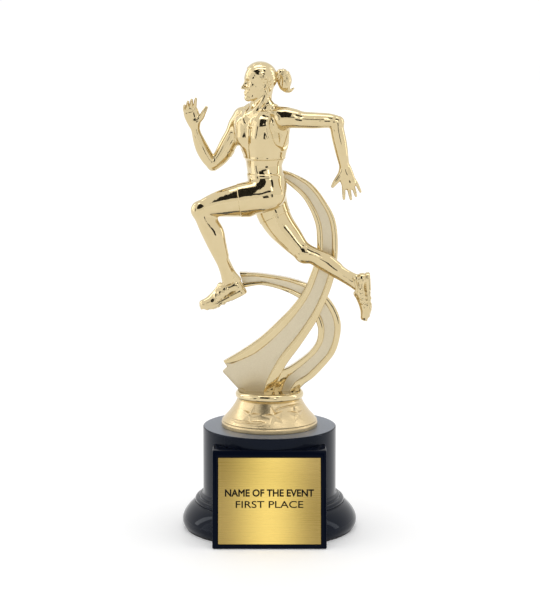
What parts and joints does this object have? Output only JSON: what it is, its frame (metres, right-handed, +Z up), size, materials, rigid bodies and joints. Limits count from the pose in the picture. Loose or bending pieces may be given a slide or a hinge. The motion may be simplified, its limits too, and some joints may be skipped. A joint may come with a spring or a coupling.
{
  "type": "figure trophy",
  "caption": "Gold-plated running figure with curved sweeps on a star collar, bolted to a round black weighted base with a sloping name plate.",
  "frame": {"origin": "centre of the felt pad's underside, where the trophy stands", "axes": "+Z up; -Y is the side the name plate faces; the figure runs towards -X"},
  "size_m": [0.0925, 0.0868, 0.2249],
  "materials": {
    "felt": "short-nap felt",
    "black_plastic": "high-gloss moulded, blue-black",
    "steel": "zinc-plated hardware",
    "adhesive": "double-sided foam-free tape",
    "plate_metal": "fine horizontal brushing, lacquered",
    "satin_gold": "metallised plastic, fine-grained satin with polished rims",
    "bright_gold": "metallised plastic, mirror-bright pale gold"
  },
  "bodies": {
    "root": {"felt_pad": "felt", "base_shell": "black_plastic", "base_weight": "steel", "plate_holder": "black_plastic", "plate_adhesive": "adhesive", "engraving_plate": "plate_metal", "threaded_rod": "steel", "rod_nut": "steel", "rod_washer": "steel", "captive_nut": "steel", "star_collar": "satin_gold", "main_sweep": "satin_gold", "loop_sweep": "satin_gold", "runner_torso": "bright_gold", "runner_head": "bright_gold", "ponytail": "bright_gold", "arm_back": "bright_gold", "arm_forward": "bright_gold", "leg_front": "bright_gold", "leg_rear": "bright_gold"}
  },
  "joints": []
}
